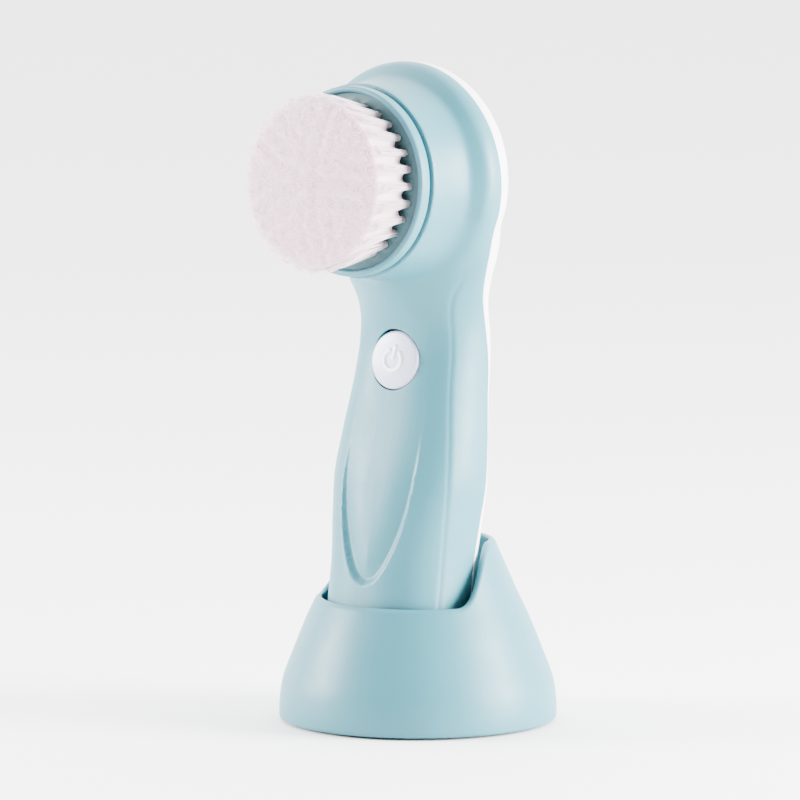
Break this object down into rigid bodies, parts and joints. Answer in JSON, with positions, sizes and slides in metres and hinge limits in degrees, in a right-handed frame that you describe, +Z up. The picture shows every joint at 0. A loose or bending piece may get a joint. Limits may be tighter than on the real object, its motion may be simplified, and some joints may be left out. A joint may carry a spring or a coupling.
{
  "type": "facial cleansing brush",
  "caption": "Battery facial cleansing brush: soft round brush on a tilted head, curved two-part handle with a round power button, standing in a bell-shaped stand.",
  "frame": {"origin": "centre of the stand's resting face", "axes": "+Z up, -Y the way the brush faces, +X to the right of someone looking along +Y"},
  "size_m": [0.0712, 0.0799, 0.1694],
  "materials": {
    "aqua": "satin moulded, pale aqua",
    "aqua_inner": "plain moulded, darker aqua",
    "white_shell": "smooth white",
    "white_button": "smooth white with a faint lilac tint",
    "bristle_fibre": "very fine soft fibres, pinkish white",
    "plate_teal": "plain, grey teal",
    "rubber_black": "matt",
    "rubber_aqua": "matt silicone",
    "grey_plastic": "plain moulded",
    "gear_plastic": "acetal, natural",
    "cell_sleeve": "printed sleeve, plain",
    "board_green": "solder mask",
    "black_plastic": "plain",
    "brass": "bright",
    "steel": "plain"
  },
  "bodies": {
    "stand": {"stand_shell": "aqua", "cradle": "aqua_inner", "base_plate": "aqua_inner", "stand_mat": "rubber_black", "base_screws": "steel"},
    "handle": {"front_shell": "aqua", "rear_cover": "white_shell", "chassis": "grey_plastic", "chassis_screws": "steel", "cell_left": "cell_sleeve", "cell_right": "cell_sleeve", "upper_contacts": "brass", "circuit_board": "board_green", "board_screws": "steel", "tact_switch": "black_plastic", "board_chips": "black_plastic", "button_boot": "rubber_aqua", "motor_can": "steel", "motor_bush": "brass", "motor_screws": "steel", "gearbox_base": "grey_plastic", "gearbox_cover": "grey_plastic", "gearbox_screws": "steel", "idler_pin": "steel", "shaft_bushes": "brass", "shaft_seal": "rubber_black"},
    "button": {"power_button": "white_button"},
    "plunger": {"switch_plunger": "black_plastic"},
    "rotor": {"motor_shaft": "steel", "pinion": "gear_plastic"},
    "idler": {"idler_gear": "gear_plastic"},
    "drive": {"output_gear": "gear_plastic", "output_shaft": "steel"},
    "brush_head": {"brush_cup": "aqua", "drive_socket": "plate_teal", "bristle_plate": "plate_teal", "bristles": "bristle_fibre"},
    "cap": {"battery_cap": "aqua", "cap_seal": "rubber_black", "bridge_contact": "brass", "contact_springs": "steel"}
  },
  "joints": [
    {"name": "handle_lift", "type": "slide", "parent": "stand", "child": "handle", "axis": [0, 0.1736, 0.9848], "range_m": [0, 0.04]},
    {"name": "button_press", "type": "slide", "parent": "handle", "child": "button", "axis": [0, 0.9848, -0.1736], "range_m": [0, 0.0008], "stiffness_N_per_m": 1500, "springref_m": -0.0004},
    {"name": "plunger_press", "type": "slide", "parent": "handle", "child": "plunger", "axis": [0, 0.9848, -0.1736], "range_m": [0, 0.0008]},
    {"name": "brush_spin", "type": "hinge", "parent": "handle", "child": "drive", "pos_m": [0, -0.02117, 0.14044], "axis": [0, -0.9986, 0.0523], "continuous": true},
    {"name": "idler_spin", "type": "hinge", "parent": "handle", "child": "idler", "pos_m": [-0.00978, -0.01854, 0.13334], "axis": [0, -0.9986, 0.0523], "continuous": true},
    {"name": "motor_spin", "type": "hinge", "parent": "handle", "child": "rotor", "pos_m": [0, -0.01387, 0.12704], "axis": [0, -0.9986, 0.0523], "continuous": true},
    {"name": "brush_pull", "type": "slide", "parent": "drive", "child": "brush_head", "axis": [0, -0.9986, 0.0523], "range_m": [0, 0.01]},
    {"name": "cap_pull", "type": "slide", "parent": "handle", "child": "cap", "axis": [0, -0.1736, -0.9848], "range_m": [0, 0.007]}
  ],
  "couplings": [
    {"joint": "plunger_press", "follows": "button_press", "ratio": 1},
    {"joint": "idler_spin", "follows": "brush_spin", "ratio": -3},
    {"joint": "motor_spin", "follows": "brush_spin", "ratio": 10.8}
  ]
}
